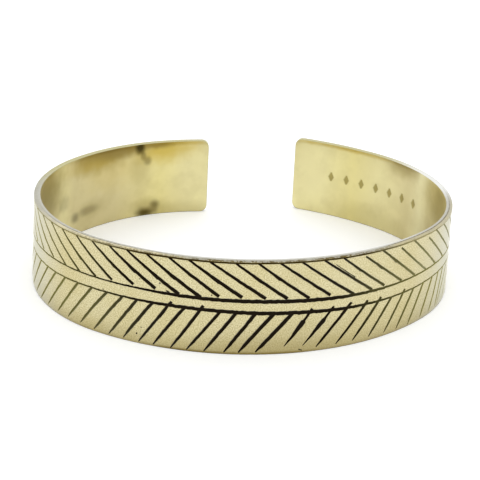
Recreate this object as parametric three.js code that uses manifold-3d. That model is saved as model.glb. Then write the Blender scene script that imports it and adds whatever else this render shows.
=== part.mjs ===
// Cuff bracelet: one flat strip of brass, cut with a feather pattern and bent to an open oval.
// It stands on its lower edge with the opening at the back, +Y. Millimetres and degrees, +Z up.
// The origin is on the lower edge's plane, in the middle of the oval.
import * as THREE from 'three';
import { mergeVertices } from 'three/addons/utils/BufferGeometryUtils.js';
import Module from 'manifold-3d';

const wasm = await Module();
wasm.setup();

// Strip
const STRIP_HEIGHT = 12.7;
const STRIP_THICKNESS = 0.88;
const EDGE_CHAMFER = 0.12;
const END_CORNER_RADIUS = 1.2;

// Bend, seen from above: a front arc, two shoulders and two arms, each side by its own hand
const FRONT_RADIUS = 35.5;
const FRONT_TURN_RIGHT = 37.7;
const FRONT_TURN_LEFT = 41.1;
const SHOULDER_RADIUS_RIGHT = 22.5;
const SHOULDER_RADIUS_LEFT = 22.1;
const SHOULDER_TURN_RIGHT = 90.5;
const SHOULDER_TURN_LEFT = 92.1;
const ARM_RADIUS_RIGHT = 39.9;
const ARM_RADIUS_LEFT = 27.4;
const WALL_LEAN = 3.2;

// Opening between the two ends
const GAP_WIDTH = 15.3;
const GAP_OFFSET = 6.2;

// Feather pattern: a border line, a stem of two lines, an upper and a lower row of slanting cuts
const GRAVER_ANGLE = 80;
const PATTERN_END_MARGIN = 1.6;
const BORDER_DROP = 0.35;
const BORDER_WIDTH = 0.2;
const STEM_HEIGHT = 6.6;
const STEM_LINE_SPACING = 1.6;
const STEM_LINE_WIDTH = 0.36;
const UPPER_PITCH = 2.85;
const UPPER_RUN = 6.7;
const UPPER_TOP_WIDTH = 0.22;
const UPPER_FOOT_WIDTH = 0.42;
const UPPER_FOOT_CLEARANCE = 0.2;
const LOWER_PITCH = 2.3;
const LOWER_RUN = 4;
const LOWER_ROOT_WIDTH = 0.4;
const LOWER_TIP_WIDTH = 0.12;
const LOWER_TIP_HEIGHT = 0.5;

// How finely curves are faceted
const BEND_STEP = 3.2;
const CORNER_STEPS = 4;

// One side of the plan as three tangent arcs, starting at the middle of the front and heading
// outwards. The arm turns on until its end stands at endX, beside the opening.
function bendSide(frontTurn, shoulderRadius, shoulderTurn, armRadius, endX) {
  const arcs = [];
  let heading = 0;
  let x = 0;
  let y = 0;
  let s = 0;
  const addArc = (radius, turn) => {
    arcs.push({ radius, heading, x, y, s });
    x += radius * (Math.sin(heading + turn) - Math.sin(heading));
    y -= radius * (Math.cos(heading + turn) - Math.cos(heading));
    s += radius * turn;
    heading += turn;
  };
  addArc(FRONT_RADIUS, THREE.MathUtils.degToRad(frontTurn));
  addArc(shoulderRadius, THREE.MathUtils.degToRad(shoulderTurn));
  const armCentreX = x - armRadius * Math.sin(heading);
  const endHeading = Math.PI - Math.asin((endX - armCentreX) / armRadius);
  addArc(armRadius, endHeading - heading);
  return { arcs, length: s };
}

const right = bendSide(
  FRONT_TURN_RIGHT,
  SHOULDER_RADIUS_RIGHT,
  SHOULDER_TURN_RIGHT,
  ARM_RADIUS_RIGHT,
  GAP_WIDTH / 2 + GAP_OFFSET,
);
const left = bendSide(
  FRONT_TURN_LEFT,
  SHOULDER_RADIUS_LEFT,
  SHOULDER_TURN_LEFT,
  ARM_RADIUS_LEFT,
  GAP_WIDTH / 2 - GAP_OFFSET,
);
const leanSlope = Math.tan(THREE.MathUtils.degToRad(WALL_LEAN));

// A point of the bent strip: s along it from the middle of the front, positive to the right,
// depth inward from the outer face, z up from the lower edge. The wall leans in as it rises.
function bentPoint(s, depth, z) {
  const side = s < 0 ? left : right;
  const mirror = s < 0 ? -1 : 1;
  const along = Math.abs(s);
  const arc = side.arcs.findLast((candidate) => candidate.s <= along);
  const heading = arc.heading + (along - arc.s) / arc.radius;
  const inward = depth + z * leanSlope;
  const reach = arc.radius - inward;
  const centreX = arc.x - arc.radius * Math.sin(arc.heading);
  const centreY = arc.y + arc.radius * Math.cos(arc.heading);
  const x = centreX + reach * Math.sin(heading);
  const y = centreY - reach * Math.cos(heading);
  return new THREE.Vector3(mirror * x, y, z);
}

// Turns a three.js geometry into a closed solid after moving each of its points by place().
function toSolid(geometry, place) {
  const bare = geometry.clone();
  bare.deleteAttribute('normal');
  bare.deleteAttribute('uv');
  const merged = mergeVertices(bare, 1e-6);
  const position = merged.getAttribute('position');
  const point = new THREE.Vector3();
  const vertProperties = new Float32Array(position.count * 3);
  for (let i = 0; i < position.count; i += 1) {
    point.fromBufferAttribute(position, i);
    place(point).toArray(vertProperties, i * 3);
  }
  const triVerts = Uint32Array.from(merged.getIndex().array);
  return new wasm.Manifold(new wasm.Mesh({ numProp: 3, vertProperties, triVerts }));
}

// A bar of one cross-section, drawn with depth inward and height up, laid along the strip.
function bentBar(points, fromS, toS) {
  const steps = Math.ceil((toS - fromS) / BEND_STEP);
  const bar = new THREE.ExtrudeGeometry(new THREE.Shape(points), {
    depth: toS - fromS,
    steps,
    bevelEnabled: false,
  });
  return toSolid(bar, (p) => bentPoint(fromS + p.z, p.x, p.y));
}

// The blank: a rectangle with its four long edges broken by a small chamfer.
const blank = bentBar(
  [
    new THREE.Vector2(EDGE_CHAMFER, 0),
    new THREE.Vector2(STRIP_THICKNESS - EDGE_CHAMFER, 0),
    new THREE.Vector2(STRIP_THICKNESS, EDGE_CHAMFER),
    new THREE.Vector2(STRIP_THICKNESS, STRIP_HEIGHT - EDGE_CHAMFER),
    new THREE.Vector2(STRIP_THICKNESS - EDGE_CHAMFER, STRIP_HEIGHT),
    new THREE.Vector2(EDGE_CHAMFER, STRIP_HEIGHT),
    new THREE.Vector2(0, STRIP_HEIGHT - EDGE_CHAMFER),
    new THREE.Vector2(0, EDGE_CHAMFER),
  ],
  -left.length,
  right.length,
);

// What is filed away to round one corner of an end: the square corner less its quarter circle.
// towards is the way along the strip to the nearest end, up is +1 at the top and -1 at the foot.
// Two of the four corners mirror the outline, so their plug runs from the inner face outwards.
function cornerCut(endS, towards, up) {
  const radius = END_CORNER_RADIUS;
  const spare = EDGE_CHAMFER + radius;
  const outline = new THREE.Shape();
  outline.moveTo(0, radius);
  for (let i = 1; i <= CORNER_STEPS; i += 1) {
    const angle = (Math.PI / 2) * (1 - i / CORNER_STEPS);
    outline.lineTo(radius * Math.cos(angle), radius * Math.sin(angle));
  }
  outline.lineTo(radius + spare, 0);
  outline.lineTo(radius + spare, radius + spare);
  outline.lineTo(0, radius + spare);
  const plug = new THREE.ExtrudeGeometry(outline, {
    depth: STRIP_THICKNESS + 2 * spare,
    bevelEnabled: false,
  });
  const centreS = endS - towards * radius;
  const centreZ = up > 0 ? STRIP_HEIGHT - radius : radius;
  const end = bentPoint(endS, 0, centreZ);
  const inner = bentPoint(endS, STRIP_THICKNESS, centreZ);
  const across = inner.clone().sub(end).normalize();
  const centre = bentPoint(centreS, 0, centreZ);
  const along = end.clone().sub(centre).normalize();
  const fromInside = towards * up > 0;
  return toSolid(plug, (p) => {
    const depth = fromInside ? STRIP_THICKNESS + spare - p.z : p.z - spare;
    return centre
      .clone()
      .addScaledVector(along, p.x)
      .addScaledVector(across, depth)
      .add(new THREE.Vector3(0, 0, up * p.y));
  });
}

// One stroke of the graver: a V-shaped groove between two points on the outer face, each given
// as { s, z, width }. It is as deep as the tool's angle makes it for its width.
const depthPerWidth = 0.5 / Math.tan(THREE.MathUtils.degToRad(GRAVER_ANGLE / 2));
const liftPerDepth = 0.6;

function stroke(from, to) {
  const vee = new THREE.Shape([
    new THREE.Vector2(0, 1),
    new THREE.Vector2(-0.5 * (1 + liftPerDepth), -liftPerDepth),
    new THREE.Vector2(0.5 * (1 + liftPerDepth), -liftPerDepth),
  ]);
  const length = Math.hypot(to.s - from.s, to.z - from.z);
  const acrossS = (to.z - from.z) / length;
  const acrossZ = (from.s - to.s) / length;
  const steps = Math.ceil(Math.abs(to.s - from.s) / BEND_STEP);
  const bar = new THREE.ExtrudeGeometry(vee, { depth: 1, steps, bevelEnabled: false });
  return toSolid(bar, (p) => {
    const width = THREE.MathUtils.lerp(from.width, to.width, p.z);
    const s = THREE.MathUtils.lerp(from.s, to.s, p.z) + acrossS * width * p.x;
    const z = THREE.MathUtils.lerp(from.z, to.z, p.z) + acrossZ * width * p.x;
    return bentPoint(s, p.y * width * depthPerWidth, z);
  });
}

// The pattern keeps clear of both ends of the strip.
const patternStart = PATTERN_END_MARGIN - left.length;
const patternEnd = right.length - PATTERN_END_MARGIN;
const strokes = [];

function levelLine(z, width) {
  strokes.push(stroke({ s: patternStart, z, width }, { s: patternEnd, z, width }));
}

const stemTop = STEM_HEIGHT + STEM_LINE_SPACING / 2;
const stemBottom = STEM_HEIGHT - STEM_LINE_SPACING / 2;
levelLine(STRIP_HEIGHT - BORDER_DROP, BORDER_WIDTH);
levelLine(stemTop, STEM_LINE_WIDTH);
levelLine(stemBottom, STEM_LINE_WIDTH);

// Each row repeats one slanting stroke at its own pitch, from the middle of the front outwards.
function row(pitch, run, highEnd, lowEnd) {
  const reachBack = Math.max(0, -run);
  const reachOn = Math.max(0, run);
  const first = Math.ceil((patternStart + reachBack) / pitch);
  const last = Math.floor((patternEnd - reachOn) / pitch);
  for (let k = first; k <= last; k += 1) {
    const s = k * pitch;
    strokes.push(stroke({ s, ...highEnd }, { s: s + run, ...lowEnd }));
  }
}

row(
  UPPER_PITCH,
  UPPER_RUN,
  { z: STRIP_HEIGHT - BORDER_DROP - BORDER_WIDTH / 2, width: UPPER_TOP_WIDTH },
  { z: stemTop + STEM_LINE_WIDTH / 2 + UPPER_FOOT_CLEARANCE, width: UPPER_FOOT_WIDTH },
);
row(
  LOWER_PITCH,
  -LOWER_RUN,
  { z: stemBottom, width: LOWER_ROOT_WIDTH },
  { z: LOWER_TIP_HEIGHT, width: LOWER_TIP_WIDTH },
);

let solid = blank;
for (const cut of strokes) {
  solid = solid.subtract(cut);
}
for (const up of [-1, 1]) {
  solid = solid.subtract(cornerCut(-left.length, -1, up));
  solid = solid.subtract(cornerCut(right.length, 1, up));
}

// The finished cuff as one named mesh
const { vertProperties, triVerts, numProp } = solid.getMesh();
const geometry = new THREE.BufferGeometry();
const positions = new Float32Array((vertProperties.length / numProp) * 3);
for (let i = 0; i < positions.length / 3; i += 1) {
  positions.set(vertProperties.subarray(i * numProp, i * numProp + 3), i * 3);
}
geometry.setAttribute('position', new THREE.BufferAttribute(positions, 3));
geometry.setIndex(new THREE.BufferAttribute(new Uint32Array(triVerts), 1));
geometry.computeVertexNormals();
geometry.computeBoundingBox();

const brass = new THREE.MeshStandardMaterial({
  color: 0xd9ce95,
  roughness: 0.42,
  metalness: 0.9,
});
const cuff = new THREE.Mesh(geometry, brass);
cuff.name = 'cuff';
const middle = geometry.boundingBox.getCenter(new THREE.Vector3());
cuff.position.set(-middle.x, -middle.y, 0);

const bracelet = new THREE.Group();
bracelet.name = 'cuff_bracelet';
bracelet.add(cuff);

export default bracelet;
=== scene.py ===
# Brass cuff bracelet with a hand-cut feather pattern, standing on its lower edge on a pale table.
import math

import bpy
import numpy as np
from mathutils import Matrix, Vector
from mathutils.geometry import delaunay_2d_cdt


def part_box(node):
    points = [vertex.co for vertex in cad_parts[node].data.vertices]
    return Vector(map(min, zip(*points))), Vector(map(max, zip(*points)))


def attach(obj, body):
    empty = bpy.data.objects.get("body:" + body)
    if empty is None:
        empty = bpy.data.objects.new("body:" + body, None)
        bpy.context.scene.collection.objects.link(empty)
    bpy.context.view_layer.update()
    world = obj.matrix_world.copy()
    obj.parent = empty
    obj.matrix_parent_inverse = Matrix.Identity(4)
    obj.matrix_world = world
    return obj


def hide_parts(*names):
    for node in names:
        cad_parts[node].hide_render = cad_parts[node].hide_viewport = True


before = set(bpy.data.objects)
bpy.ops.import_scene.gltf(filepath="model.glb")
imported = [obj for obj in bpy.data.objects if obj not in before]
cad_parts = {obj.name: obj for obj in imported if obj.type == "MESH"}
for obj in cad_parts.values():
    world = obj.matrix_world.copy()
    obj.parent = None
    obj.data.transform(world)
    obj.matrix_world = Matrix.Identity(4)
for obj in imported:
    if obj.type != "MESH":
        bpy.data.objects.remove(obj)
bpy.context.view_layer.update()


# The cuff: its strip
# The cuff is one strip of sheet brass, half an inch wide, its ends rounded and its edges broken
# with a file. It is laid out flat here, in millimetres: s along it from the middle of the front,
# z up from the lower edge, depth inward from the outer face. The bend comes last.
mm = 0.001
strip_height = (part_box("cuff")[1][2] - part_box("cuff")[0][2]) / mm
strip_thickness = 0.88
left_length = 86.88
right_length = 74.51
end_corner_radius = 1.2
corner_step = math.pi / 14
corner_points = 8
long_edge_points = 356
end_edge_points = 28
edge_rounding = 0.08
edge_waver = 0.02
lower_edge_share = 0.3


def waver(x, seed, wavelength):
    """A smooth uneven line between -1 and 1, the same on every run."""
    phase = np.random.default_rng(seed).uniform(0, 2 * math.pi, 4)
    stretch = (1.0, 1.73, 2.91, 4.37)
    share = (0.5, 0.3, 0.2, 0.12)
    turn = 2 * math.pi / wavelength
    return sum(a * np.sin(x * turn * k + p) for a, k, p in zip(share, stretch, phase))


def strip_outline():
    """Points of the strip's edge, anticlockwise from the lower left, with their inward normals."""
    r = end_corner_radius
    bottom = np.linspace(-left_length + r, right_length - r, long_edge_points)[1:-1]
    side = np.linspace(r, strip_height - r, end_edge_points)[1:-1]
    corners = (
        (right_length - r, r, -math.pi / 2),
        (right_length - r, strip_height - r, 0),
        (-left_length + r, strip_height - r, math.pi / 2),
        (-left_length + r, r, math.pi),
    )
    runs = (
        np.column_stack([bottom, np.zeros(len(bottom))]),
        np.column_stack([np.full(len(side), right_length), side]),
        np.column_stack([bottom[::-1], np.full(len(bottom), strip_height)]),
        np.column_stack([np.full(len(side), -left_length), side[::-1]]),
    )
    points = []
    for run, (cx, cz, start) in zip(runs, corners):
        points.extend(run)
        angles = start + corner_step * np.arange(corner_points)
        points.extend(np.column_stack([cx + r * np.cos(angles), cz + r * np.sin(angles)]))
    points = np.array(points)
    ahead = np.roll(points, -1, axis=0) - np.roll(points, 1, axis=0)
    ahead /= np.linalg.norm(ahead, axis=1)[:, None]
    inward = np.column_stack([-ahead[:, 1], ahead[:, 0]])
    off = edge_waver * waver(points[:, 0] + 3 * points[:, 1], seed=11, wavelength=23.0)
    on_top = points[:, 1] > strip_height / 2
    uneven = np.where(on_top, off, lower_edge_share * off) + edge_waver
    return points + inward * uneven[:, None] * 0.5, inward


outline, outline_inward = strip_outline()
rounded_outline = outline + outline_inward * edge_rounding


# The cuff: its engraving
# The pattern is cut into the brass by hand with a graver: a border line under the upper edge, a
# stem of two lines, and a row of slanting cuts above and below it. No two cuts are quite alike.
graver_depth = 0.2
depth_per_width = 0.9
floor_share = 0.45
least_half_width = 0.02
widest_half_cut = 0.6
end_slack = 0.001
hand_wander = 0.012
burr_fade = 1.6
border_height = strip_height - 0.235
pattern_margin = 1.6
edge_margin = 0.13
cut_rng = np.random.default_rng(5)
cuts = []


def hand_noise(count):
    """Uneven numbers about 0, each eased towards its neighbours."""
    rough = cut_rng.normal(0, 1, count)
    return np.convolve(np.pad(rough, 1, mode="edge"), (0.25, 0.5, 0.25), "valid")


def add_cut(start, end, widths, ragged=0.08, bow=0.0, blunt=(0.06, 0.06), step=0.22, burr=None):
    """One cut between two points (s, z). Widths are (share of the way, width) pairs.

    Blunt is how long its two ends take to reach full depth. A burr, given as (share of the way,
    side, width), is where one push of the graver ends and the next, narrower one starts.
    """
    start, end = np.array(start, float), np.array(end, float)
    length = float(np.linalg.norm(end - start))
    along = (end - start) / length
    count = max(4, int(length / step) + 1)
    t = np.linspace(0, length, count)
    share = t / length
    half = 0.5 * np.interp(share, *zip(*widths))
    sides = []
    for side in range(2):
        edge = half * (1 + ragged * hand_noise(count))
        if burr and side == burr[1]:
            past = t - burr[0] * length
            edge += burr[2] * np.clip(1 + past / burr_fade, 0, 1) * (past <= 0)
        sides.append(np.maximum(edge, least_half_width))
    cut = {
        "start": start,
        "along": along,
        "across": np.array([-along[1], along[0]]),
        "t": t,
        "centre": bow * 4 * share * (1 - share) + hand_wander * hand_noise(count),
        "left": sides[0],
        "right": sides[1],
        "depth": np.minimum(graver_depth, depth_per_width * (sides[0] + sides[1])),
        "blunt": blunt,
    }
    cuts.append(cut)
    return cut


# The stem's two lines, as the height of each at places along the front. They dip to the right.
stem_places = (
    -86.9, -39.0, -33.0, -27.0, -19.0, -14.0, -9.0, -3.0, 2.0, 8.0, 14.0, 20.0, 25.0, 31.0, 74.5,
)
stem_upper = (
    7.55, 7.5, 7.6, 7.65, 7.65, 7.55, 7.45, 7.35, 7.25, 7.1, 7.1, 7.2, 7.35, 7.4, 7.45,
)
stem_lower = (
    5.95, 5.75, 5.85, 6.05, 6.05, 6.05, 5.95, 5.75, 5.65, 5.45, 5.4, 5.45, 5.65, 5.75, 5.85,
)
stem_width_places = (-87, -24, -19, -14, -6, 3, 8, 13, 16, 25, 75)
stem_upper_width = (0.2, 0.22, 0.28, 0.48, 0.56, 0.57, 0.49, 0.4, 0.3, 0.25, 0.22)
stem_lower_width = (0.2, 0.24, 0.34, 0.5, 0.56, 0.56, 0.47, 0.34, 0.27, 0.22, 0.22)
stem_wander = 0.02
stem_raggedness = 0.16
stem_depth_per_width = 0.8
torn_width = 0.05
torn_share = 0.4
first_place = -left_length + pattern_margin
last_place = right_length - pattern_margin


def add_stem_line(heights, widths, seed):
    """One line of the stem, its two sides ragged here and there with torn metal."""
    line = add_cut((first_place, 0), (last_place, 0), ((0, 0.3), (1, 0.3)), step=0.2)
    s = first_place + line["t"]
    line["centre"] = np.interp(s, stem_places, heights)
    line["centre"] += stem_wander * waver(s, seed, wavelength=2.7)
    width = np.interp(s, stem_width_places, widths)
    for side, side_seed in (("left", seed + 4), ("right", seed + 5)):
        line[side] = 0.5 * width * (1 + stem_raggedness * waver(s, side_seed, wavelength=1.3))
        torn = torn_width * np.abs(cut_rng.normal(0, 0.5, len(s)))
        line[side] += torn * (cut_rng.random(len(s)) < torn_share)
    line["depth"] = np.minimum(graver_depth, stem_depth_per_width * width)


add_stem_line(stem_upper, stem_upper_width, seed=21)
add_stem_line(stem_lower, stem_lower_width, seed=41)

# Upper cuts, left to right, as they stand on the front: where each one starts under the border,
# how far it runs to its foot, how high the foot ends, how wide it is there, and for a few how far
# below the border they start.
upper_pitch = 2.85
upper_room = 7.0
upper_chart = (
    (-37.5, 6.6, 7.65, 0.33), (-34.7, 6.6, 7.6, 0.35), (-32.0, 6.5, 7.75, 0.37),
    (-29.1, 6.1, 7.9, 0.4), (-26.3, 6.4, 8.0, 0.45), (-23.6, 6.7, 8.0, 0.5),
    (-21.05, 7.25, 7.7, 0.52), (-18.3, 7.3, 7.6, 0.52), (-15.35, 6.65, 7.9, 0.48),
    (-12.75, 6.95, 7.9, 0.52), (-10.05, 7.25, 7.75, 0.48), (-6.85, 6.85, 7.65, 0.47),
    (-4.0, 6.9, 7.5, 0.43), (-1.2, 7.0, 7.6, 0.42), (1.65, 7.6, 7.25, 0.42),
    (4.65, 7.5, 7.3, 0.4), (7.35, 6.9, 7.4, 0.38), (10.3, 7.15, 7.3, 0.36, 0.3),
    (13.5, 6.75, 7.3, 0.38), (16.45, 6.45, 7.3, 0.34, 0.38), (19.5, 6.0, 7.4, 0.33),
    (22.4, 5.9, 7.5, 0.33, 0.5), (25.0, 6.3, 7.5, 0.33), (27.7, 6.3, 7.5, 0.33),
)
# Lower cuts: where each root leaves the stem, how far it runs back to its tip, how far the root
# shoots past the stem's line, how high the tip ends, and the root's width.
lower_pitch = 2.3
lower_room = 4.5
lower_chart = (
    (-35.4, 4.1, 0.0, 0.5, 0.27), (-33.2, 4.2, 0.0, 0.4, 0.28), (-31.0, 4.0, 0.0, 0.5, 0.28),
    (-28.5, 3.9, 0.0, 0.6, 0.29), (-26.1, 4.1, 0.0, 0.6, 0.3), (-23.7, 4.1, 0.0, 0.6, 0.31),
    (-21.4, 4.1, 0.0, 0.4, 0.32), (-19.35, 3.85, 0.0, 0.4, 0.32), (-17.2, 3.85, 0.0, 0.45, 0.34),
    (-15.1, 3.8, 0.45, 0.4, 0.32), (-13.0, 3.9, 0.0, 0.35, 0.34), (-11.0, 3.6, 0.45, 0.3, 0.34),
    (-8.45, 4.05, 0.0, 0.35, 0.34), (-6.4, 3.9, 0.1, 0.35, 0.38), (-4.0, 3.75, 0.1, 0.4, 0.4),
    (-1.65, 4.25, 0.0, 0.45, 0.44), (0.8, 4.5, 0.0, 0.5, 0.46), (3.05, 3.1, 0.35, 1.2, 0.5),
    (6.0, 3.55, 0.4, 1.1, 0.46), (8.4, 4.1, 0.6, 0.7, 0.36), (11.15, 4.05, 0.4, 0.7, 0.34),
    (13.4, 3.8, 0.4, 0.7, 0.37), (15.75, 3.6, 0.0, 0.7, 0.34), (18.0, 3.2, 0.35, 0.6, 0.34),
    (20.2, 3.1, 0.0, 0.5, 0.36), (22.5, 3.0, 0.0, 0.4, 0.36), (24.9, 2.6, 0.0, 0.5, 0.35),
    (26.9, 2.3, 0.0, 0.5, 0.35), (28.9, 2.2, 0.0, 0.5, 0.35),
)
hand_drift = 0.12


def continued(chart, pitch, first, last):
    """The chart, carried on to both ends of the pattern with the same hand's small drifts."""
    rows = list(chart)
    usual = chart[2][1:]
    while rows[0][0] - pitch > first:
        rows.insert(0, (rows[0][0] - pitch + cut_rng.normal(0, hand_drift), *usual))
    while rows[-1][0] + pitch < last:
        rows.append((rows[-1][0] + pitch + cut_rng.normal(0, hand_drift), *usual))
    return rows


# An upper cut starts thin under the border and swells towards its foot. Most of them show the
# step where a second push of the graver carried on.
border_gap = 0.02
upper_start_width = 0.29
usual_upper_width = 0.45
stepped_share = 0.65
upper_rows = continued(upper_chart, upper_pitch, first_place, last_place - upper_room)
for top, run, foot, width, *lower in upper_rows:
    drop = sum(lower) + border_gap
    step_place = cut_rng.uniform(0.4, 0.65)
    step_width = cut_rng.uniform(0.06, 0.16) * width / usual_upper_width
    add_cut(
        (top + drop * run / (border_height - foot), border_height - drop), (top + run, foot),
        (
            (0, upper_start_width), (0.3, 0.17 + 0.48 * width), (0.65, 0.96 * width),
            (1, 1.05 * width),
        ),
        bow=cut_rng.normal(0, 0.04), blunt=(0.05, 0.1),
        burr=(step_place, 1, step_width) if cut_rng.random() < stepped_share else None,
    )

# Most of a lower cut's length keeps the root's width, and the tip is drawn out of the last part.
# Two of them start thin, because the graver slipped back before the second push.
root_flare = 1.38
root_past = 0.1
tip_past = 0.15
root_burr = 0.06
root_burr_share = 0.25
steady_cut = ((0, 0.9), (0.15, 1), (0.8, 0.86), (0.94, 0.5), (1, 0.25))
slipped_cut = ((0, 0.58), (0.3, 0.56), (0.33, 1.12), (0.5, 1), (0.9, 0.34), (1, 0.15))
lower_rows = continued(lower_chart, lower_pitch, first_place + lower_room, last_place)
for root, run, past, tip, width in lower_rows:
    line = float(np.interp(root, stem_places, stem_lower))
    slope = run / (line - tip)
    wide = root_flare * width
    past += root_past if past else 0
    shape = slipped_cut if width > 0.45 and past > 0.3 else steady_cut
    add_cut(
        (root + past * slope, line + past), (root - run - tip_past * slope, tip - tip_past),
        [(share, part * wide) for share, part in shape],
        bow=cut_rng.normal(0, 0.05), blunt=(0.07, 0.2),
        burr=(
            (cut_rng.uniform(0.3, 0.6), 0, root_burr)
            if cut_rng.random() < root_burr_share else None
        ),
    )

# The border line, cut in short pushes that each begin a little way back in the last. It is
# heaviest just left of the middle, and where it is heavier than usual it grows downwards.
push_lengths = (2.5, 9.0)
push_overlaps = (0.05, 0.4)
least_push = 2
border_lift = 0.012
usual_border = 0.23
border_places = (-26, -19, -15, -9, 0, 14, 26)
border_widths = (0.18, 0.22, 0.28, 0.25, usual_border, usual_border, 0.165)
place = first_place
while place < last_place - least_push:
    until = min(place + float(cut_rng.uniform(*push_lengths)), last_place)
    lift = float(cut_rng.uniform(-border_lift, border_lift))
    wide = float(np.interp((place + until) / 2, border_places, border_widths))
    level = border_height - max(0.0, wide - usual_border) / 2
    add_cut(
        (place, level + lift), (until, level - lift), ((0, wide), (1, 0.9 * wide)),
        ragged=0.06, bow=cut_rng.normal(0, 0.006), step=0.25,
    )
    place = until - float(cut_rng.uniform(*push_overlaps))

# One upper cut was begun twice, and leaves a thin second line beside it.
add_cut((6.3, 11.71), (9.3, 9.55), ((0, 0.1), (1, 0.12)), ragged=0.2)

# Small pits and slips of the tool beside the pattern, as (s, z, length, width).
slips = (
    (-16.45, 8.85, 0.22, 0.16), (-15.5, 7.95, 0.5, 0.14), (-9.75, 8.05, 0.18, 0.13),
    (-19.35, 1.4, 0.2, 0.2), (-18.75, 2.35, 0.16, 0.14), (-19.15, 8.95, 0.14, 0.12),
    (1.8, 0.5, 0.5, 0.12), (-24.4, 6.35, 0.2, 0.12), (33.5, 3.4, 0.2, 0.14),
    (47.0, 9.1, 0.25, 0.13), (-48.5, 4.4, 0.22, 0.15), (-63.0, 9.2, 0.2, 0.14),
)
slip_fall = 0.3
for s, z, length, width in slips:
    slip_end = (s + length, z - slip_fall * length)
    add_cut((s, z), slip_end, ((0, 1.3 * width), (1, 1.1 * width)), step=0.08)


def cut_depth(points):
    """How deep the engraving is at each point, and how near the floor of a cut it lies, 0 to 1."""
    depth = np.zeros(len(points))
    near = np.zeros(len(points))
    for cut in cuts:
        offset = points - cut["start"]
        t = offset @ cut["along"]
        lateral = offset @ cut["across"]
        beside = np.abs(lateral) < widest_half_cut + np.abs(cut["centre"]).max()
        within = (t >= -end_slack) & (t <= cut["t"][-1] + end_slack)
        chosen = np.flatnonzero(within & beside)
        if not len(chosen):
            continue
        t = t[chosen]
        lateral = lateral[chosen] - np.interp(t, cut["t"], cut["centre"])
        left = np.interp(t, cut["t"], cut["left"])
        right = np.interp(t, cut["t"], cut["right"])
        side = np.abs(lateral) / np.where(lateral > 0, left, right)
        wall = np.clip((1 - side) / (1 - floor_share), 0, 1)
        ends = np.minimum(t / cut["blunt"][0], (cut["t"][-1] - t) / cut["blunt"][1])
        fall = np.minimum(wall, np.clip(ends, 0, 1))
        depth[chosen] = np.maximum(depth[chosen], fall * np.interp(t, cut["t"], cut["depth"]))
        near[chosen] = np.maximum(near[chosen], fall)
    return depth, near


def cut_loops(cut):
    """The cut's rim and its floor, each as a closed loop of points."""
    loops = []
    last = cut["t"][-1]
    for share, inset in ((1.0, (0, 0)), (floor_share, cut["blunt"])):
        t = cut["t"].copy()
        t[0], t[-1] = inset[0], last - inset[1]
        t = t[(t >= inset[0]) & (t <= last - inset[1])]
        middle = cut["start"] + t[:, None] * cut["along"]
        centre = np.interp(t, cut["t"], cut["centre"])
        left = centre + share * np.interp(t, cut["t"], cut["left"])
        right = centre - share * np.interp(t, cut["t"], cut["right"])
        there = middle + left[:, None] * cut["across"]
        back = (middle + right[:, None] * cut["across"])[::-1]
        loop = np.vstack([there, back])
        loop[:, 1] = np.clip(loop[:, 1], edge_margin, strip_height - edge_margin)
        loops.append(loop)
    return loops


def filled_sheet(boundary, loops, spacing, is_clear):
    """Triangles that fill the boundary, follow every loop and are about spacing wide between."""
    rings = [boundary, *loops]
    edges = []
    start = 0
    for ring in rings:
        count = len(ring)
        edges.extend((start + i, start + (i + 1) % count) for i in range(count))
        start += count
    s_low, z_low = boundary.min(axis=0) + spacing
    s_high, z_high = boundary.max(axis=0) - spacing / 2
    columns = np.arange(s_low, s_high, spacing)
    rows = list(enumerate(np.arange(z_low, z_high, spacing)))
    grid = np.array([(s + 0.5 * spacing * (j % 2), z) for s in columns for j, z in rows])
    to_end = np.minimum(grid[:, 0] + left_length, right_length - grid[:, 0])
    grid = grid[(to_end >= end_corner_radius + spacing) & (grid[:, 0] < s_high)]
    flat = np.vstack([*rings, grid[is_clear(grid)]])
    corners, _, triangles, *_ = delaunay_2d_cdt([Vector(p) for p in flat], edges, [], 1, 1e-5)
    return np.array([tuple(v) for v in corners]), [tuple(f) for f in triangles]


def clear_by(margin, depths):
    """A test that says which points lie at least a margin away from anything cut or punched."""
    offsets = margin * np.array([(0, 0), (1, 0), (-1, 0), (0, 1), (0, -1)])

    def is_clear(points):
        around = np.vstack([points + offset for offset in offsets])
        return (depths(around)[1] == 0).reshape(len(offsets), -1).all(axis=0)

    return is_clear


outer_spacing = 0.5
cut_clearance = 0.14
outer_loops = [loop for cut in cuts for loop in cut_loops(cut)]
outer_points, outer_faces = filled_sheet(
    rounded_outline, outer_loops, outer_spacing, clear_by(cut_clearance, cut_depth)
)
outer_depth, outer_near = cut_depth(outer_points)


# The cuff: its inner face
# The inner face is the bare brass of the strip, left smooth and plain as it came from the rolls.
# A short row of lozenges is punched into it along the right arm.
lozenge_count = 7
lozenge_start = 50.6
lozenge_pitch = 2.85
lozenge_height = 7.0
lozenge_half_size = (0.66, 1.3)
lozenge_depth = 0.1
lozenge_wall_share = 0.45
lozenge_clearance = 0.2
inner_spacing = 0.62
lozenge_places = [
    (lozenge_start + lozenge_pitch * k, lozenge_height) for k in range(lozenge_count)
]


def lozenge_depths(points):
    """How deep the punch marks are at each point, and how near the floor of one it lies."""
    near = np.zeros(len(points))
    for place in lozenge_places:
        reach = (np.abs(points - place) / lozenge_half_size).sum(axis=1)
        near = np.maximum(near, np.clip((1 - reach) / lozenge_wall_share, 0, 1))
    return lozenge_depth * near, near


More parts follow.
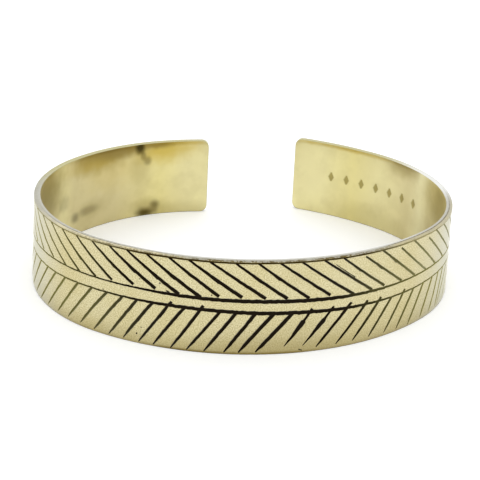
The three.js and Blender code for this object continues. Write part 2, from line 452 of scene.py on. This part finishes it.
inner_loops = []
lozenge_corners = np.array([(1, 0), (0, 1), (-1, 0), (0, -1)], float)
lozenge_steps = np.linspace(0, 1, 4)[:-1, None]
for place in lozenge_places:
    for share in (1.0, 1 - lozenge_wall_share):
        reach = lozenge_corners * (lozenge_half_size[0] * share, lozenge_half_size[1] * share)
        sides = [a + (b - a) * lozenge_steps for a, b in zip(reach, np.roll(reach, -1, axis=0))]
        inner_loops.append(np.vstack(sides) + place)
inner_points, inner_faces = filled_sheet(
    rounded_outline, inner_loops, inner_spacing, clear_by(lozenge_clearance, lozenge_depths)
)
inner_depth, inner_near = lozenge_depths(inner_points)

# The flat strip as one closed mesh: outer face, rounded edge all round, inner face. The edge's
# rings are given as (how far inside the outline, depth) and run from face to face.
bevel_middle = 0.29 * edge_rounding
edge_rings = (
    (bevel_middle, bevel_middle),
    (0.0, edge_rounding),
    (-0.01, strip_thickness / 2),
    (0.0, strip_thickness - edge_rounding),
    (bevel_middle, strip_thickness - bevel_middle),
)
OUTSIDE, INSIDE, EDGE = 0, 1, 2
vertices = [np.column_stack([outer_points[:, 0], outer_depth, outer_points[:, 1]])]
near_cut = [outer_near]
faces = list(outer_faces)
finish = [OUTSIDE] * len(outer_faces)
count = len(outline)
ring_start = [0]
total = len(outer_points)
for inset, depth in edge_rings:
    at = outline + outline_inward * inset
    vertices.append(np.column_stack([at[:, 0], np.full(count, depth), at[:, 1]]))
    near_cut.append(np.zeros(count))
    ring_start.append(total)
    total += count
ring_start.append(total)
inner_surface = strip_thickness - inner_depth
vertices.append(np.column_stack([inner_points[:, 0], inner_surface, inner_points[:, 1]]))
near_cut.append(inner_near)
for a, b in zip(ring_start, ring_start[1:]):
    for i in range(count):
        j = (i + 1) % count
        faces.append((a + i, b + i, b + j, a + j))
        finish.append(EDGE)
faces.extend(tuple(total + v for v in reversed(face)) for face in inner_faces)
finish.extend([INSIDE] * len(inner_faces))
vertices = np.vstack(vertices) * mm

flat_mesh = bpy.data.meshes.new("cuff_flat")
flat_mesh.from_pydata(vertices.tolist(), [], faces)
near_values = flat_mesh.attributes.new("near_cut", "FLOAT", "POINT").data
near_values.foreach_set("value", np.concatenate(near_cut))
flat_mesh.attributes.new("finish", "INT", "FACE").data.foreach_set("value", finish)
flat_mesh.shade_smooth()


# The cuff: its bend
# The strip was bent round a former by hand, so it is a front arc, two shoulders and two arms that
# don't quite match, and its wall leans in a little as it rises. Radii in mm, turns in degrees.
left_arm_turn = 54.13
left_shoulder_turn = 92.1
left_front_turn = 41.1
right_front_turn = 37.7
right_shoulder_turn = 90.5
right_arm_turn = 22.42
bend_arcs = (
    (27.4, left_arm_turn),
    (22.1, left_shoulder_turn),
    (35.5, left_front_turn + right_front_turn),
    (22.5, right_shoulder_turn),
    (39.9, right_arm_turn),
)
first_heading = -(left_front_turn + left_shoulder_turn + left_arm_turn)
steps_per_degree = 2
wall_lean = math.tan(math.radians(3.2))


def bend_path():
    """The plan of the outer face's lower edge, from the left end to the right one."""
    heading = math.radians(first_heading)
    at = np.zeros(2)
    points = [at]
    for radius, turn in bend_arcs:
        steps = int(turn * steps_per_degree)
        for step in range(1, steps + 1):
            angle = heading + math.radians(turn) * step / steps
            reach = np.array(
                [math.sin(angle) - math.sin(heading), math.cos(heading) - math.cos(angle)]
            )
            points.append(at + radius * reach)
        at = points[-1]
        heading += math.radians(turn)
    points = np.array(points)
    return points - (points.min(axis=0) + points.max(axis=0)) / 2


path = bend_path()
path_curve = bpy.data.curves.new("bend_path", "CURVE")
path_curve.dimensions = "3D"
spline = path_curve.splines.new("POLY")
spline.points.add(len(path) - 1)
for point, (x, y) in zip(spline.points, path * mm):
    point.co = (x, y, 0, 1)
path_object = bpy.data.objects.new("bend_path", path_curve)
bpy.context.collection.objects.link(path_object)


def add_node(tree, kind, values=(), **settings):
    """A node with its settings, and a value or a link for each of its inputs, by name or place."""
    node = tree.nodes.new(kind)
    for name, value in settings.items():
        setattr(node, name, value)
    for name, value in dict(values).items():
        socket = node.inputs[name]
        if isinstance(value, bpy.types.NodeSocket):
            tree.links.new(value, socket)
        else:
            socket.default_value = value
    return node


def bend_tree(finishes):
    """Geometry nodes that lay the flat strip along the path and give each face its finish."""
    tree = bpy.data.node_groups.new("bend_strip", "GeometryNodeTree")
    for name, kind in (
        ("Strip", "Geometry"), ("Path", "Object"), ("Left length", "Float"), ("Wall lean", "Float"),
    ):
        tree.interface.new_socket(name, in_out="INPUT", socket_type=f"NodeSocket{kind}")
    tree.interface.new_socket("Cuff", in_out="OUTPUT", socket_type="NodeSocketGeometry")
    given = add_node(tree, "NodeGroupInput")
    flat = add_node(tree, "GeometryNodeInputPosition").outputs[0]
    kept = add_node(
        tree, "GeometryNodeStoreNamedAttribute",
        {"Geometry": given.outputs["Strip"], "Name": "flat", "Value": flat},
        data_type="FLOAT_VECTOR", domain="POINT",
    )
    parts = add_node(tree, "ShaderNodeSeparateXYZ", {0: flat})
    length = add_node(
        tree, "ShaderNodeMath", {0: parts.outputs["X"], 1: given.outputs["Left length"]}
    )
    plan = add_node(tree, "GeometryNodeObjectInfo", {"Object": given.outputs["Path"]})
    sample = add_node(
        tree, "GeometryNodeSampleCurve",
        {"Curves": plan.outputs["Geometry"], "Length": length.outputs[0]}, mode="LENGTH",
    )
    inward = add_node(
        tree, "ShaderNodeVectorMath", {0: (0, 0, 1), 1: sample.outputs["Tangent"]},
        operation="CROSS_PRODUCT",
    )
    reach = add_node(
        tree, "ShaderNodeMath",
        {0: parts.outputs["Z"], 1: given.outputs["Wall lean"], 2: parts.outputs["Y"]},
        operation="MULTIPLY_ADD",
    )
    shifted = add_node(
        tree, "ShaderNodeVectorMath",
        {0: inward.outputs[0], "Scale": reach.outputs[0]}, operation="SCALE",
    )
    height = add_node(tree, "ShaderNodeCombineXYZ", {"Z": parts.outputs["Z"]})
    low = add_node(
        tree, "ShaderNodeVectorMath", {0: sample.outputs["Position"], 1: shifted.outputs[0]},
    )
    place = add_node(tree, "ShaderNodeVectorMath", {0: low.outputs[0], 1: height.outputs[0]})
    bent = add_node(
        tree, "GeometryNodeSetPosition",
        {"Geometry": kept.outputs["Geometry"], "Position": place.outputs[0]},
    )
    finish_of = add_node(
        tree, "GeometryNodeInputNamedAttribute", {"Name": "finish"}, data_type="INT"
    )
    result = add_node(tree, "GeometryNodeRealizeInstances", {"Geometry": bent.outputs[0]})
    for number, material in enumerate(finishes):
        same = add_node(
            tree, "FunctionNodeCompare", {2: finish_of.outputs[0], 3: number},
            data_type="INT", operation="EQUAL",
        )
        result = add_node(
            tree, "GeometryNodeSetMaterial",
            {"Geometry": result.outputs[0], "Selection": same.outputs[0], "Material": material},
        )
    add_node(tree, "NodeGroupOutput", {"Cuff": result.outputs[0]})
    return tree


# The cuff: its finish outside
# The outer face is satin brass with blackened cuts, darkened towards the foot by painted shade. The
# black is worn out of the cuts towards the sides, where the cuff is handled.
def surface(name):
    """A new material with its tree and its shader."""
    material = bpy.data.materials.new(name)
    material.use_nodes = True
    tree = material.node_tree
    tree.nodes.clear()
    shader = add_node(tree, "ShaderNodeBsdfPrincipled")
    add_node(tree, "ShaderNodeOutputMaterial", {"Surface": shader.outputs[0]})
    return material, tree, shader


def strip_place(tree):
    """Where a point lay on the flat strip: as a vector, then along, inward and up by themselves."""
    flat = add_node(tree, "ShaderNodeAttribute", attribute_name="flat").outputs["Vector"]
    parts = add_node(tree, "ShaderNodeSeparateXYZ", {0: flat}).outputs
    return flat, parts["X"], parts["Y"], parts["Z"]


def blend(tree, factor, first, second):
    mix = add_node(tree, "ShaderNodeMix", {0: factor, 6: first, 7: second}, data_type="RGBA")
    return mix.outputs[2]


def product(tree, first, second):
    return add_node(tree, "ShaderNodeMath", {0: first, 1: second}, operation="MULTIPLY").outputs[0]


def distance(tree, value, place=0.0):
    """How far the value is from a place, on either side of it."""
    offset = add_node(tree, "ShaderNodeMath", {0: value, 1: place}, operation="SUBTRACT")
    return add_node(tree, "ShaderNodeMath", {0: offset.outputs[0]}, operation="ABSOLUTE").outputs[0]


def spread(tree, value, low, high, to_low=0.0, to_high=1.0):
    """The value between two limits, eased at both, as a share or between two other values."""
    node = add_node(
        tree, "ShaderNodeMapRange", {0: value, 1: low, 2: high, 3: to_low, 4: to_high},
        interpolation_type="SMOOTHSTEP",
    )
    return node.outputs[0]


def speckle(tree, where, per_mm, detail=3.0, stretch=(1, 1, 1)):
    """Noise with about so many specks to the millimetre."""
    scaled = add_node(
        tree, "ShaderNodeMapping", {"Vector": where, "Scale": tuple(s / mm for s in stretch)}
    )
    noise = add_node(
        tree, "ShaderNodeTexNoise",
        {"Vector": scaled.outputs[0], "Scale": per_mm, "Detail": detail},
    )
    return noise.outputs["Fac"]


patch_raggedness = 0.8
patch_core = 0.7
patch_fringe = 2.1


def patch(tree, where, ragged, s, z, half_length, half_height, strength=1.0):
    """A soft-edged uneven patch on the strip, s and z in mm, as a share."""
    placed = add_node(
        tree, "ShaderNodeMapping",
        {
            "Vector": where,
            "Location": (-s / half_length, 0, -z / half_height),
            "Scale": (1 / (half_length * mm), 0, 1 / (half_height * mm)),
        },
    )
    far = add_node(tree, "ShaderNodeVectorMath", {0: placed.outputs[0]}, operation="LENGTH")
    uneven = add_node(
        tree, "ShaderNodeMath", {0: ragged, 1: patch_raggedness, 2: far.outputs["Value"]},
        operation="MULTIPLY_ADD",
    )
    return spread(tree, uneven.outputs[0], patch_core, patch_fringe, strength, 0.0)


pale_brass = (0.712, 0.652, 0.412, 1)
warm_brass = (0.66, 0.59, 0.335, 1)
dirt_and_shade_brass = (0.31, 0.24, 0.075, 1)
oxide = (0.010, 0.006, 0.002, 1)
faded_oxide = (0.27, 0.25, 0.075, 1)
rim_brown = (0.13, 0.092, 0.022, 1)
border_brown = (0.065, 0.043, 0.006, 1)
border_gold = (0.4, 0.355, 0.165, 1)
painted_sheen_brass = (0.59, 0.58, 0.475, 1)
white_glare = (0.95, 0.95, 0.93, 1)

brass_outside, tree, shader = surface("brass_outside")
flat, along, _, height = strip_place(tree)
near = add_node(tree, "ShaderNodeAttribute", attribute_name="near_cut").outputs["Fac"]
cloud = speckle(tree, flat, 0.18)
grain = speckle(tree, flat, 6.5, detail=2.5)
ragged = speckle(tree, flat, 5.0)
colour = blend(tree, spread(tree, cloud, 0.25, 0.75), pale_brass, warm_brass)
# Painted shade: the face darkens towards its lower edge, where it would mirror the table in the
# cuff's own shadow.
foot = spread(tree, height, -0.2 * mm, 2.6 * mm, 0.45, 0.0)
colour = blend(tree, foot, colour, dirt_and_shade_brass)
# Painted contact shadow with some dirt: a dark line along the lower edge, strongest just left of
# the middle.
off_shadow_and_dirt_line = distance(tree, along, -7 * mm)
foot_shadow_and_dirt_line = product(
    tree, spread(tree, height, 0.12 * mm, 0.52 * mm, 0.9, 0.0),
    spread(tree, off_shadow_and_dirt_line, 7 * mm, 13 * mm, 1.0, 0.3),
)
colour = blend(tree, foot_shadow_and_dirt_line, colour, rim_brown)
# Handling has soiled four places, given as (s, z, half length, half height, strength).
soiled_patches = (
    (2, 2.2, 10, 2.2, 0.17), (-3, 1.0, 9, 1.5, 0.26), (24, 2.5, 7, 1.8, 0.12),
    (1, 10.5, 2, 1, 0.08),
)
for soiled in soiled_patches:
    colour = blend(tree, patch(tree, flat, cloud, *soiled), colour, dirt_and_shade_brass)
colour = blend(tree, spread(tree, grain, 0.38, 0.67, 0.0, 0.6), colour, dirt_and_shade_brass)
# The upper row to the left has kept more of its black than the other three.
off_middle = distance(tree, along, -4 * mm)
lower_lead = spread(tree, along, -4 * mm, 4 * mm, 3 * mm, 4 * mm)
upper_lead = spread(tree, along, -4 * mm, 4 * mm, -1.5 * mm, 5.5 * mm)
lead = spread(tree, height, 5.4 * mm, 6.8 * mm, lower_lead, upper_lead)
rubbing = add_node(tree, "ShaderNodeMath", {0: off_middle, 1: lead}).outputs[0]
worn = product(
    tree, spread(tree, rubbing, 15 * mm, 37 * mm),
    spread(tree, off_middle, 46 * mm, 62 * mm, 1.0, 0.4),
)
edge_of_cut = add_node(
    tree, "ShaderNodeMath", {0: ragged, 1: 0.16, 2: near}, operation="MULTIPLY_ADD"
)
black = spread(tree, edge_of_cut.outputs[0], 0.08, 0.3)
# Dirt clings in specks above the border line, and stays longest left of the middle.
leftward = spread(tree, along, -12 * mm, -19 * mm)
grimy = blend(
    tree, leftward, spread(tree, off_middle, 12 * mm, 30 * mm, 0.8, 0.4),
    spread(tree, off_middle, 18 * mm, 30 * mm, 1.0, 0.05),
)
rim_grime = product(tree, spread(tree, height, 12.5 * mm, 12.6 * mm), grimy)
rim_specks = product(tree, rim_grime, spread(tree, ragged, 0.62, 0.46))
colour = blend(tree, rim_specks, colour, rim_brown)
# The border line is browner than the other cuts, and rubbed nearly clean beyond the front.
in_cuts = blend(tree, worn, oxide, faded_oxide)
rubbed_out = blend(
    tree, leftward, spread(tree, off_middle, 13 * mm, 25 * mm),
    spread(tree, off_middle, 14 * mm, 28 * mm),
)
in_border = blend(tree, rubbed_out, border_brown, border_gold)
on_border = spread(tree, height, 12.3 * mm, 12.37 * mm)
colour = blend(tree, black, colour, blend(tree, on_border, in_cuts, in_border))
# Painted sheen: where the surface is seen at a slant, its colour is blended towards a pale haze and
# then white glare, less so in the black of the cuts.
slant = add_node(tree, "ShaderNodeLayerWeight", {"Blend": 0.5}).outputs["Facing"]
still_black = product(tree, black, spread(tree, worn, 0.3, 1.0, 1.0, 0.45))
open_face = spread(tree, still_black, 0.0, 1.0, 1.0, 0.2)
for low, high, strength, sheen_colour in (
    (0.4, 0.85, 0.8, painted_sheen_brass),
    (0.84, 1.0, 0.85, white_glare),
):
    painted_sheen = product(tree, spread(tree, slant, low, high, 0.0, strength), open_face)
    colour = blend(tree, painted_sheen, colour, sheen_colour)
tree.links.new(colour, shader.inputs["Base Color"])
tree.links.new(spread(tree, black, 0, 1, 1.0, 0.0), shader.inputs["Metallic"])
shader.inputs["Specular IOR Level"].default_value = 0.05
tree.links.new(spread(tree, grain, 0.2, 0.8, 0.36, 0.5), shader.inputs["Roughness"])
bump = add_node(tree, "ShaderNodeBump", {"Strength": 0.5, "Distance": 0.02 * mm, "Height": grain})
tree.links.new(bump.outputs[0], shader.inputs["Normal"])


# The cuff: its finish inside
# The inner face is smoother and yellower than the outer one. It was never polished again, so it
# is tarnished in patches, with a few black stains near its edges. Its colour also holds painted
# reflection, darker at the shoulders.
inner_brass = (0.765, 0.70, 0.375, 1)
lemon_brass = (0.76, 0.68, 0.30, 1)
dull_tone_and_reflection_brass = (0.625, 0.55, 0.30, 1)
painted_reflection_band_brass = (0.78, 0.73, 0.45, 1)
golden_tarnish = (0.56, 0.415, 0.075, 1)
brown_tarnish = (0.26, 0.19, 0.05, 1)
olive_shade_and_tarnish = (0.27, 0.215, 0.05, 1)
dark_stain = (0.045, 0.035, 0.008, 1)

brass_inside, tree, shader = surface("brass_inside")
flat, along, *_ = strip_place(tree)
near = add_node(tree, "ShaderNodeAttribute", attribute_name="near_cut").outputs["Fac"]
cloud = speckle(tree, flat, 0.14)
ragged = speckle(tree, flat, 0.5, detail=1.5)
grain = speckle(tree, flat, 5.0, detail=2.0)
ramp_start, ramp_end = -88, 76
# Colours along the inner face as (s, colour): the brass's own tone with painted reflection in it,
# darker round the shoulders and a pale band at 48.7 mm.
inside_colours_and_reflections = (
    (-87.0, inner_brass), (-83.0, inner_brass), (-78.5, lemon_brass), (-70.0, dull_tone_and_reflection_brass),
    (-61.0, dull_tone_and_reflection_brass), (-58.0, inner_brass), (-54.0, dull_tone_and_reflection_brass), (-40.0, dull_tone_and_reflection_brass),
    (34.0, dull_tone_and_reflection_brass), (45.5, dull_tone_and_reflection_brass), (48.7, painted_reflection_band_brass), (52.0, dull_tone_and_reflection_brass),
    (59.0, inner_brass), (63.5, lemon_brass), (69.0, inner_brass), (74.0, inner_brass),
)
ramp_place = add_node(tree, "ShaderNodeMapRange", {0: along, 1: ramp_start * mm, 2: ramp_end * mm})
ramp = add_node(tree, "ShaderNodeValToRGB", {0: ramp_place.outputs[0]})
stops = ramp.color_ramp.elements
for number, (s, shade) in enumerate(inside_colours_and_reflections):
    place = (s - ramp_start) / (ramp_end - ramp_start)
    stop = stops[number] if number < 2 else stops.new(place)
    stop.position = place
    stop.color = shade
colour = blend(tree, spread(tree, cloud, 0.3, 0.7, 0.0, 0.3), ramp.outputs[0], dull_tone_and_reflection_brass)
mottle = speckle(tree, flat, 0.35)
colour = blend(tree, spread(tree, mottle, 0.4, 0.7, 0.0, 0.12), colour, dirt_and_shade_brass)
# Each patch of tarnish, stain or painted reflection as (its colour, s, z, half length, half height,
# strength).
inside_patches = (
    # The first two olive patches, at the shoulders, are painted reflection of the cuff's dark far
    # side.
    (olive_shade_and_tarnish, -51.8, 8.8, 5.0, 5.0, 0.64),
    (olive_shade_and_tarnish, 41.5, 9.2, 4.4, 4.0, 0.5),
    (golden_tarnish, -79.0, 11.6, 4.6, 2.0, 0.85),
    (golden_tarnish, -79.0, 12.9, 7.0, 0.7, 0.7),
    (brown_tarnish, -66.4, 11.7, 4.7, 2.1, 0.86),
    (brown_tarnish, -76.8, 12.3, 4.0, 0.6, 0.7),
    (golden_tarnish, -69.0, 9.5, 5.0, 3.0, 0.25),
    (golden_tarnish, -64.0, 11.2, 5.0, 1.3, 0.3),
    (brown_tarnish, -70.3, 12.0, 5.0, 1.1, 0.85),
    (golden_tarnish, 65.0, 12.9, 8.5, 0.7, 0.8),
    (brown_tarnish, 53.0, 12.3, 3.4, 1.5, 0.55),
    (olive_shade_and_tarnish, 60.0, 1.6, 6.0, 1.8, 0.2),
    (dark_stain, -74.7, 12.1, 0.75, 0.95, 1.0),
    (dark_stain, -75.3, 10.7, 0.45, 0.7, 0.5),
    (dark_stain, -76.1, 9.7, 0.6, 0.65, 0.5),
    (dark_stain, -77.6, 1.7, 0.75, 0.8, 0.7),
    (dark_stain, -75.9, 0.6, 1.5, 0.8, 1.0),
    (brown_tarnish, -76.2, 1.4, 2.4, 1.4, 0.4),
    (brown_tarnish, -74.7, 8.6, 1.7, 2.9, 0.28),
    (brown_tarnish, -83.0, 0.6, 6.0, 1.3, 0.2),
    (brown_tarnish, 48.2, 3.2, 2.6, 3.2, 0.2),
    (dark_stain, -64.2, 3.4, 2.0, 0.7, 0.36),
    (brown_tarnish, -65.0, 3.6, 3.2, 1.3, 0.25),
    (dark_stain, -61.4, 2.9, 0.9, 0.8, 0.5),
    (dark_stain, -58.3, 6.2, 1.1, 1.2, 0.24),
    (brown_tarnish, 45.5, 4.6, 1.2, 1.6, 0.34),
)
for shade, *where in inside_patches:
    colour = blend(tree, patch(tree, flat, ragged, *where), colour, shade)
# Painted shade: the punch marks darken towards their floors.
colour = blend(tree, spread(tree, near, 0.0, 1.0, 0.0, 0.8), colour, olive_shade_and_tarnish)
tree.links.new(colour, shader.inputs["Base Color"])
shader.inputs["Metallic"].default_value = 1.0
tree.links.new(spread(tree, cloud, 0.2, 0.8, 0.3, 0.38), shader.inputs["Roughness"])
bump = add_node(tree, "ShaderNodeBump", {"Strength": 0.2, "Distance": 0.008 * mm, "Height": grain})
waves = add_node(
    tree, "ShaderNodeBump",
    {"Strength": 0.35, "Distance": 0.3 * mm, "Height": cloud, "Normal": bump.outputs[0]},
)
tree.links.new(waves.outputs[0], shader.inputs["Normal"])


# The cuff: its finish at the edge
# The edge is filed across, grey and speckled at the front, yellower round the arms, with painted
# highlights on its inner half at the front and round the right shoulder.
# Its outer half holds polishing dirt at the front, and was rubbed bright on either side of it.
silvery_edge = (0.44, 0.425, 0.355, 1)
arm_edge = (0.48, 0.44, 0.21, 1)
left_rubbed_brass = (0.7, 0.625, 0.4, 1)
right_rubbed_brass = (0.5, 0.445, 0.27, 1)

brass_edge, tree, shader = surface("brass_edge")
flat, along, depth, height = strip_place(tree)
off_middle = distance(tree, along)
filing = speckle(tree, flat, 6.0, stretch=(1, 0.3, 1))
pitting = speckle(tree, flat, 3.2)
colour = blend(tree, spread(tree, off_middle, 46 * mm, 58 * mm), silvery_edge, arm_edge)
# Painted highlight: the inner half of the edge at the front, and the edge round the right shoulder,
# are blended towards white glare.
front = spread(tree, off_middle, 14 * mm, 26 * mm, 0.6, 0.1)
painted_inner_highlight = product(tree, spread(tree, depth, 0.3 * mm, 0.9 * mm), front)
colour = blend(tree, painted_inner_highlight, colour, white_glare)
painted_shoulder_highlight = product(
    tree, spread(tree, along, 35 * mm, 43 * mm),
    spread(tree, off_middle, 60 * mm, 48 * mm, 0.0, 0.6),
)
colour = blend(tree, painted_shoulder_highlight, colour, white_glare)
# Polishing dirt sits in the pits along the outer half of the edge, thickest at the front.
dirt = spread(tree, depth, 0.04 * mm, 0.52 * mm, 1.0, 0.0)
handled = spread(tree, off_middle, 12 * mm, 32 * mm, 1.0, 0.2)
pits = spread(tree, pitting, 0.58, 0.44, 0.2, 1.0)
smears = spread(tree, speckle(tree, flat, 0.45), 0.62, 0.42, 0.6, 1.0)
for share in (handled, pits, smears):
    dirt = product(tree, dirt, share)
colour = blend(tree, dirt, colour, rim_brown)
# Either side of the front the outer half was rubbed back to bright brass, up to a dark line. On
# the left a second brown line is left along the outer corner.
rubbed = product(
    tree, spread(tree, off_middle, 11.5 * mm, 17 * mm), spread(tree, off_middle, 44 * mm, 27 * mm)
)
rubbed_brass = blend(
    tree, spread(tree, along, -5 * mm, 5 * mm), left_rubbed_brass, right_rubbed_brass
)
middle_line = product(
    tree, spread(tree, depth, 0.3 * mm, 0.42 * mm), spread(tree, depth, 0.56 * mm, 0.44 * mm)
)
right_line = product(tree, middle_line, spread(tree, along, 12 * mm, 16 * mm))
left_line = spread(tree, depth, 0.22 * mm, 0.06 * mm)
for low, high in ((-12, -18), (-33, -26)):
    left_line = product(tree, left_line, spread(tree, along, low * mm, high * mm))
rubbed_band = spread(tree, depth, 0.4 * mm, 0.28 * mm)
for band, strength, shade in (
    (rubbed_band, spread(tree, smears, 0.6, 1.0, 0.95, 0.6), rubbed_brass),
    (middle_line, spread(tree, pits, 0.2, 1.0, 0.35, 0.9), rim_brown),
    (right_line, 0.5, rim_brown),
    (left_line, spread(tree, pits, 0.2, 1.0, 0.15, 0.7), rim_brown),
):
    shown = product(tree, product(tree, band, rubbed), strength)
    colour = blend(tree, shown, colour, shade)
# Painted shade with some grime: the edge darkens where it meets the table.
foot_shade_and_grime = spread(tree, height, 0.1 * mm, 0.8 * mm, 0.8, 0.0)
colour = blend(tree, foot_shade_and_grime, colour, rim_brown)
tree.links.new(colour, shader.inputs["Base Color"])
shader.inputs["Metallic"].default_value = 1.0
tree.links.new(spread(tree, filing, 0.3, 0.7, 0.36, 0.55), shader.inputs["Roughness"])
bump = add_node(tree, "ShaderNodeBump", {"Strength": 0.5, "Distance": 0.03 * mm, "Height": filing})
tree.links.new(bump.outputs[0], shader.inputs["Normal"])

# The flat strip is bent and takes its three finishes, and stands for the solid cuff.
sharp_angle = math.radians(28)
flat_mesh.materials.append(brass_outside)
flat_object = bpy.data.objects.new("cuff_flat", flat_mesh)
bpy.context.collection.objects.link(flat_object)
bending = flat_object.modifiers.new("bend", "NODES")
bending.node_group = bend_tree((brass_outside, brass_inside, brass_edge))
inputs = {
    item.name: item.identifier
    for item in bending.node_group.interface.items_tree
    if item.in_out == "INPUT"
}
bending[inputs["Path"]] = path_object
bending[inputs["Left length"]] = left_length * mm
bending[inputs["Wall lean"]] = wall_lean
bpy.context.view_layer.update()
evaluated = flat_object.evaluated_get(bpy.context.evaluated_depsgraph_get())
cuff_mesh = bpy.data.meshes.new_from_object(evaluated)
cuff_mesh.name = "engraved_cuff"
cuff_mesh.set_sharp_from_angle(angle=sharp_angle)
cuff = bpy.data.objects.new("engraved_cuff", cuff_mesh)
bpy.context.collection.objects.link(cuff)
bpy.data.objects.remove(flat_object)
bpy.data.objects.remove(path_object)
bpy.data.meshes.remove(flat_mesh)
bpy.data.curves.remove(path_curve)
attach(cuff, "root")
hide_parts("cuff")


# The table
# A seamless sheet of white card under and behind the cuff, wide enough to fill every view. It
# is given a faint painted glow, which whitens the shadows on it and its reflection in the brass.
card_reach = 4.0
card_corners = [
    (x * card_reach, y * card_reach, 0) for x, y in ((-1, -1), (1, -1), (1, 1), (-1, 1))
]
floor_mesh = bpy.data.meshes.new("white_card")
floor_mesh.from_pydata(card_corners, [], [(0, 1, 2, 3)])
floor = bpy.data.objects.new("white_card", floor_mesh)
bpy.context.collection.objects.link(floor)
white_card, tree, shader = surface("white_card")
shader.inputs["Base Color"].default_value = (0.9, 0.9, 0.9, 1)
shader.inputs["Roughness"].default_value = 0.9
# Painted light: the card glows faintly though it is no lamp.
shader.inputs["Emission Color"].default_value = (0.97, 0.99, 1, 1)
shader.inputs["Emission Strength"].default_value = 0.15
floor_mesh.materials.append(white_card)


# Light
# A white tent all round, evenly lit. There is no lamp, so the cuff throws hardly any shadow.
world = bpy.data.worlds.new("white_tent")
bpy.context.scene.world = world
world.use_nodes = True
tent = world.node_tree.nodes["Background"]
tent.inputs["Color"].default_value = (0.98, 0.99, 1, 1)
tent.inputs["Strength"].default_value = 1.25


# Camera
# It looks at the middle of the cuff from the front, a little to the left and above.
camera_target = Vector((0.23, 3.11, 0)) * mm
camera_distance = 154.0 * mm
camera_azimuth = math.radians(-13.10)
camera_elevation = math.radians(24.94)
camera_roll = math.radians(3.06)
camera_data = bpy.data.cameras.new("camera")
camera_data.sensor_width = 36.0
camera_data.lens = 76.26
camera_data.shift_y = 0.0458
camera_data.clip_start = 0.005
camera_data.clip_end = 20.0
camera = bpy.data.objects.new("camera", camera_data)
bpy.context.collection.objects.link(camera)
back = Vector(
    (
        math.sin(camera_azimuth) * math.cos(camera_elevation),
        -math.cos(camera_azimuth) * math.cos(camera_elevation),
        math.sin(camera_elevation),
    )
)
side = Vector((0, 0, 1)).cross(back).normalized()
above = back.cross(side)
right = side * math.cos(camera_roll) + above * math.sin(camera_roll)
top = back.cross(right)
turned = Matrix((right, top, back)).transposed().to_4x4()
camera.matrix_world = Matrix.Translation(camera_target + back * camera_distance) @ turned
bpy.context.scene.camera = camera
bpy.context.scene.view_settings.view_transform = "Standard"
